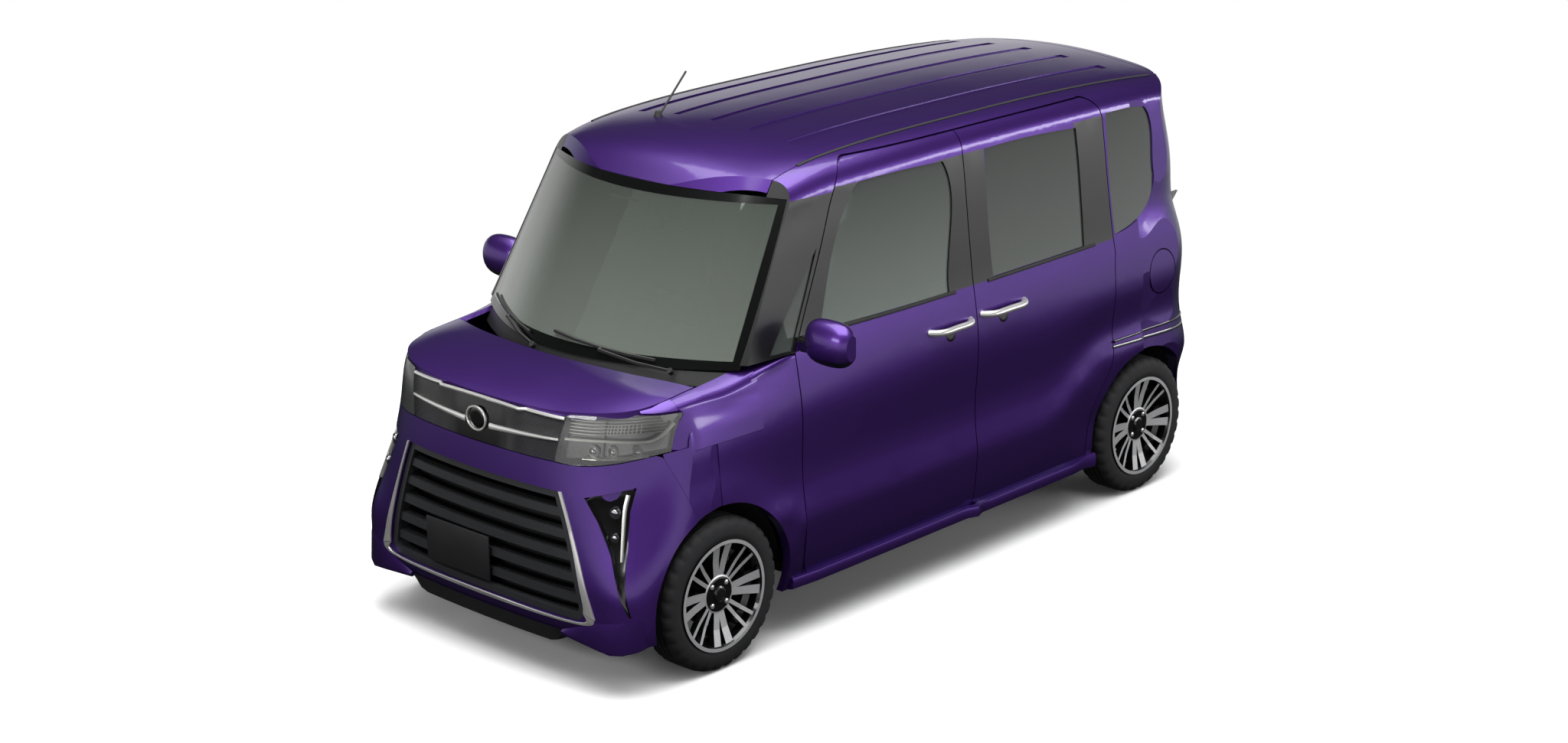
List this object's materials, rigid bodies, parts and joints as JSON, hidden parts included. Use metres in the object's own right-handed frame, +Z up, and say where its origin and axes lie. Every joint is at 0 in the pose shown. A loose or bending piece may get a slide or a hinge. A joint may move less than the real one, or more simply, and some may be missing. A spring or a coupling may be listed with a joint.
{
  "type": "kei car",
  "caption": "Tall one-box kei car with hinged front doors, bonnet, tailgate and fuel lid, fixed sliding doors, steered front wheels and a hollow cabin.",
  "frame": {"origin": "on the ground under the middle of the car", "axes": "+Z up, front of the car towards -Y, the car's left side towards +X"},
  "size_m": [1.872, 3.3908, 1.8738],
  "materials": {
    "underbody": "coated pressed steel",
    "side_panel_left": "pearl metallic paint",
    "side_panel_right": "pearl metallic paint",
    "fuel_lid": "pearl metallic paint",
    "roof_panel": "pearl metallic paint",
    "front_door_left": "pearl metallic paint",
    "front_door_right": "pearl metallic paint",
    "sliding_doors": "pearl metallic paint",
    "front_door_glass_left": "tinted safety glass",
    "front_door_glass_right": "tinted safety glass",
    "sliding_door_glass": "privacy glass",
    "fixed_side_glass": "privacy glass",
    "windscreen": "tinted safety glass",
    "front_handle_left": "plated trim",
    "front_handle_right": "plated trim",
    "sliding_door_handles": "plated trim",
    "mirror_left": "pearl metallic paint",
    "mirror_right": "pearl metallic paint",
    "fenders": "pearl metallic paint",
    "bonnet": "pearl metallic paint",
    "headlamps": "clear lamp cover",
    "upper_grille": "gloss black plastic",
    "front_bumper": "pearl metallic paint",
    "main_grille": "moulded black plastic",
    "rear_bumper": "pearl metallic paint",
    "tail_lamps": "clear lamp cover",
    "tailgate": "pearl metallic paint",
    "tailgate_glass": "privacy glass",
    "cowl": "moulded black plastic",
    "wipers": "moulded black plastic",
    "antenna": "moulded black plastic",
    "engine": "cast alloy",
    "front_suspension": "cast suspension parts",
    "knuckle_left": "cast suspension parts",
    "knuckle_right": "cast suspension parts",
    "rear_axle": "cast suspension parts",
    "fuel_tank": "blow-moulded tank",
    "exhaust": "stainless tube",
    "wheel_front_left": "machined and black painted alloy",
    "wheel_front_right": "machined and black painted alloy",
    "wheel_rear_left": "machined and black painted alloy",
    "wheel_rear_right": "machined and black painted alloy",
    "tyre_front_left": "road tyre",
    "tyre_front_right": "road tyre",
    "tyre_rear_left": "road tyre",
    "tyre_rear_right": "road tyre",
    "dashboard": "grained dashboard",
    "steering_wheel": "grained dashboard",
    "front_seats": "dark seat cloth",
    "rear_seats": "dark seat cloth"
  },
  "bodies": {
    "body": {"underbody": "underbody", "side_panel_left": "side_panel_left", "side_panel_right": "side_panel_right", "roof_panel": "roof_panel", "sliding_doors": "sliding_doors", "sliding_door_glass": "sliding_door_glass", "fixed_side_glass": "fixed_side_glass", "windscreen": "windscreen", "sliding_door_handles": "sliding_door_handles", "fenders": "fenders", "headlamps": "headlamps", "upper_grille": "upper_grille", "front_bumper": "front_bumper", "main_grille": "main_grille", "rear_bumper": "rear_bumper", "tail_lamps": "tail_lamps", "cowl": "cowl", "wipers": "wipers", "antenna": "antenna", "engine": "engine", "front_suspension": "front_suspension", "rear_axle": "rear_axle", "fuel_tank": "fuel_tank", "exhaust": "exhaust", "dashboard": "dashboard", "front_seats": "front_seats", "rear_seats": "rear_seats"},
    "front_door_left": {"front_door_left": "front_door_left", "front_door_glass_left": "front_door_glass_left", "front_handle_left": "front_handle_left", "mirror_left": "mirror_left"},
    "front_door_right": {"front_door_right": "front_door_right", "front_door_glass_right": "front_door_glass_right", "front_handle_right": "front_handle_right", "mirror_right": "mirror_right"},
    "bonnet": {"bonnet": "bonnet"},
    "tailgate": {"tailgate": "tailgate", "tailgate_glass": "tailgate_glass"},
    "fuel_lid": {"fuel_lid": "fuel_lid"},
    "knuckle_left": {"knuckle_left": "knuckle_left"},
    "knuckle_right": {"knuckle_right": "knuckle_right"},
    "wheel_front_left": {"wheel_front_left": "wheel_front_left", "tyre_front_left": "tyre_front_left"},
    "wheel_front_right": {"wheel_front_right": "wheel_front_right", "tyre_front_right": "tyre_front_right"},
    "wheel_rear_left": {"wheel_rear_left": "wheel_rear_left", "tyre_rear_left": "tyre_rear_left"},
    "wheel_rear_right": {"wheel_rear_right": "wheel_rear_right", "tyre_rear_right": "tyre_rear_right"},
    "steering_wheel": {"steering_wheel": "steering_wheel"}
  },
  "joints": [
    {"name": "front_door_left_hinge", "type": "hinge", "parent": "body", "child": "front_door_left", "pos_m": [0.7385, -0.784, 0.9], "axis": [0, 0, -1], "range_deg": [0, 68]},
    {"name": "front_door_right_hinge", "type": "hinge", "parent": "body", "child": "front_door_right", "pos_m": [-0.7385, -0.784, 0.9], "axis": [0, 0, 1], "range_deg": [0, 68]},
    {"name": "bonnet_hinge", "type": "hinge", "parent": "body", "child": "bonnet", "pos_m": [0, -1.205, 1.008], "axis": [-1, 0, 0], "range_deg": [0, 50]},
    {"name": "tailgate_hinge", "type": "hinge", "parent": "body", "child": "tailgate", "pos_m": [0, 1.5605, 1.716], "axis": [1, 0, 0], "range_deg": [0, 82]},
    {"name": "fuel_lid_hinge", "type": "hinge", "parent": "body", "child": "fuel_lid", "pos_m": [0.71825, 1.2795, 0.911], "axis": [0, 0, -1], "range_deg": [0, 80]},
    {"name": "steer_left", "type": "hinge", "parent": "body", "child": "knuckle_left", "pos_m": [0.595, -1.2, 0.281], "axis": [0, 0, 1], "range_deg": [-33, 33]},
    {"name": "steer_right", "type": "hinge", "parent": "body", "child": "knuckle_right", "pos_m": [-0.595, -1.2, 0.281], "axis": [0, 0, 1], "range_deg": [-33, 33]},
    {"name": "steering_wheel_turn", "type": "hinge", "parent": "body", "child": "steering_wheel", "pos_m": [-0.33, -0.52, 0.905], "axis": [0, 0.8988, 0.4384], "range_deg": [-462, 462]},
    {"name": "wheel_front_left_spin", "type": "hinge", "parent": "knuckle_left", "child": "wheel_front_left", "pos_m": [0.65, -1.2, 0.281], "axis": [1, 0, 0], "continuous": true},
    {"name": "wheel_front_right_spin", "type": "hinge", "parent": "knuckle_right", "child": "wheel_front_right", "pos_m": [-0.65, -1.2, 0.281], "axis": [1, 0, 0], "continuous": true},
    {"name": "wheel_rear_left_spin", "type": "hinge", "parent": "body", "child": "wheel_rear_left", "pos_m": [0.65, 1.26, 0.281], "axis": [1, 0, 0], "continuous": true},
    {"name": "wheel_rear_right_spin", "type": "hinge", "parent": "body", "child": "wheel_rear_right", "pos_m": [-0.65, 1.26, 0.281], "axis": [1, 0, 0], "continuous": true}
  ],
  "couplings": [
    {"joint": "steer_right", "follows": "steer_left", "ratio": 1},
    {"joint": "steering_wheel_turn", "follows": "steer_left", "ratio": 14}
  ]
}
